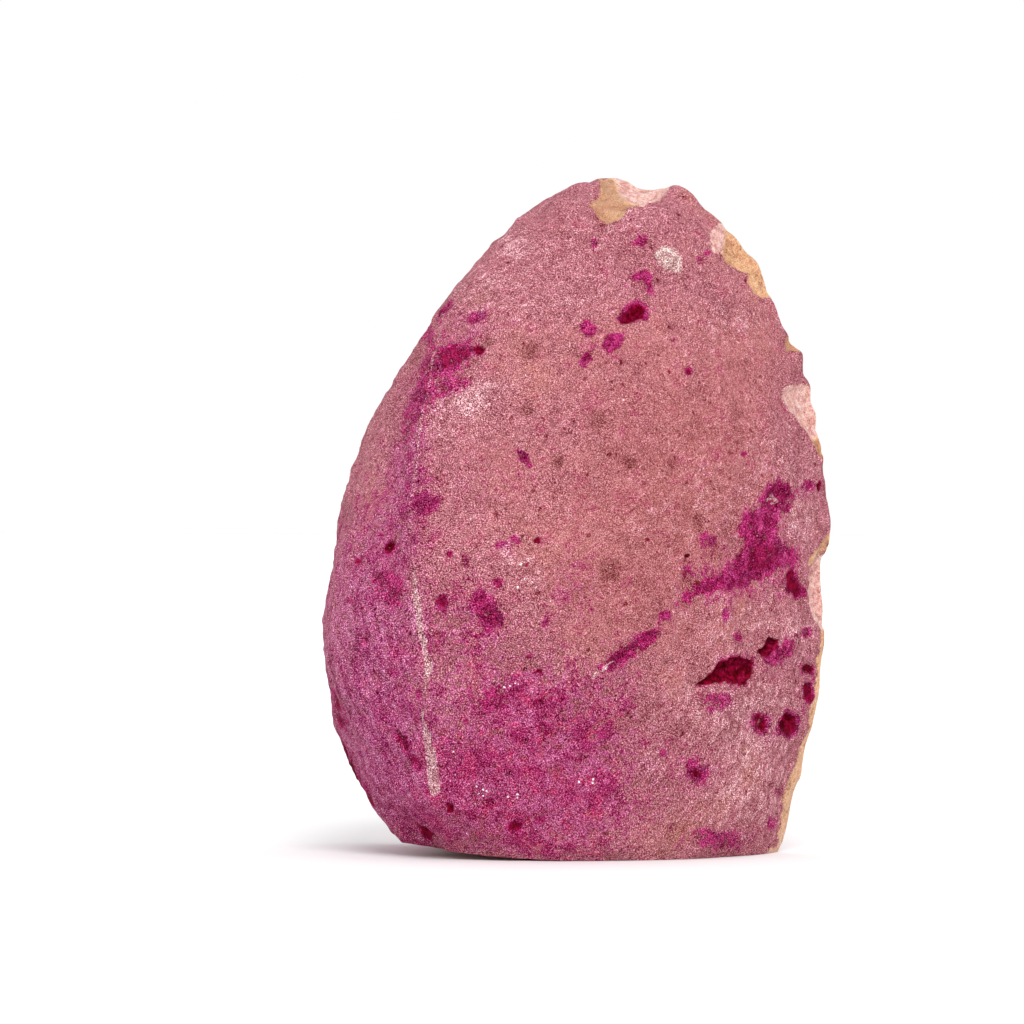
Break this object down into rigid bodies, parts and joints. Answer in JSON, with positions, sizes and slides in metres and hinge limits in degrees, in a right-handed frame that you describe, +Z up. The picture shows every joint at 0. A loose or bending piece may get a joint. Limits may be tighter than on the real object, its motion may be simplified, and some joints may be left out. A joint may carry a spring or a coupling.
{
  "type": "agate geode slice",
  "caption": "Thick end cut of a dyed pink agate geode that stands on a sawn base, with a rough pitted rind in front and a sawn face with a crystal-lined hollow behind.",
  "frame": {"origin": "Middle of the outline box of the part, on the plane of the sawn base", "axes": "+Z up from the sawn base towards the top of the nodule, +Y out of the sawn upright face, -Y out of the rind, +X to the right when the rind is seen from the front"},
  "size_m": [0.0984, 0.058, 0.1302],
  "materials": {
    "agate_stone": "rough granular rind, dyed pink and magenta; sawn and polished on the +Y face",
    "quartz_crust": "glossy clear crystal faces"
  },
  "bodies": {
    "root": {"agate_stone": "agate_stone", "quartz_crust": "quartz_crust"}
  },
  "joints": []
}
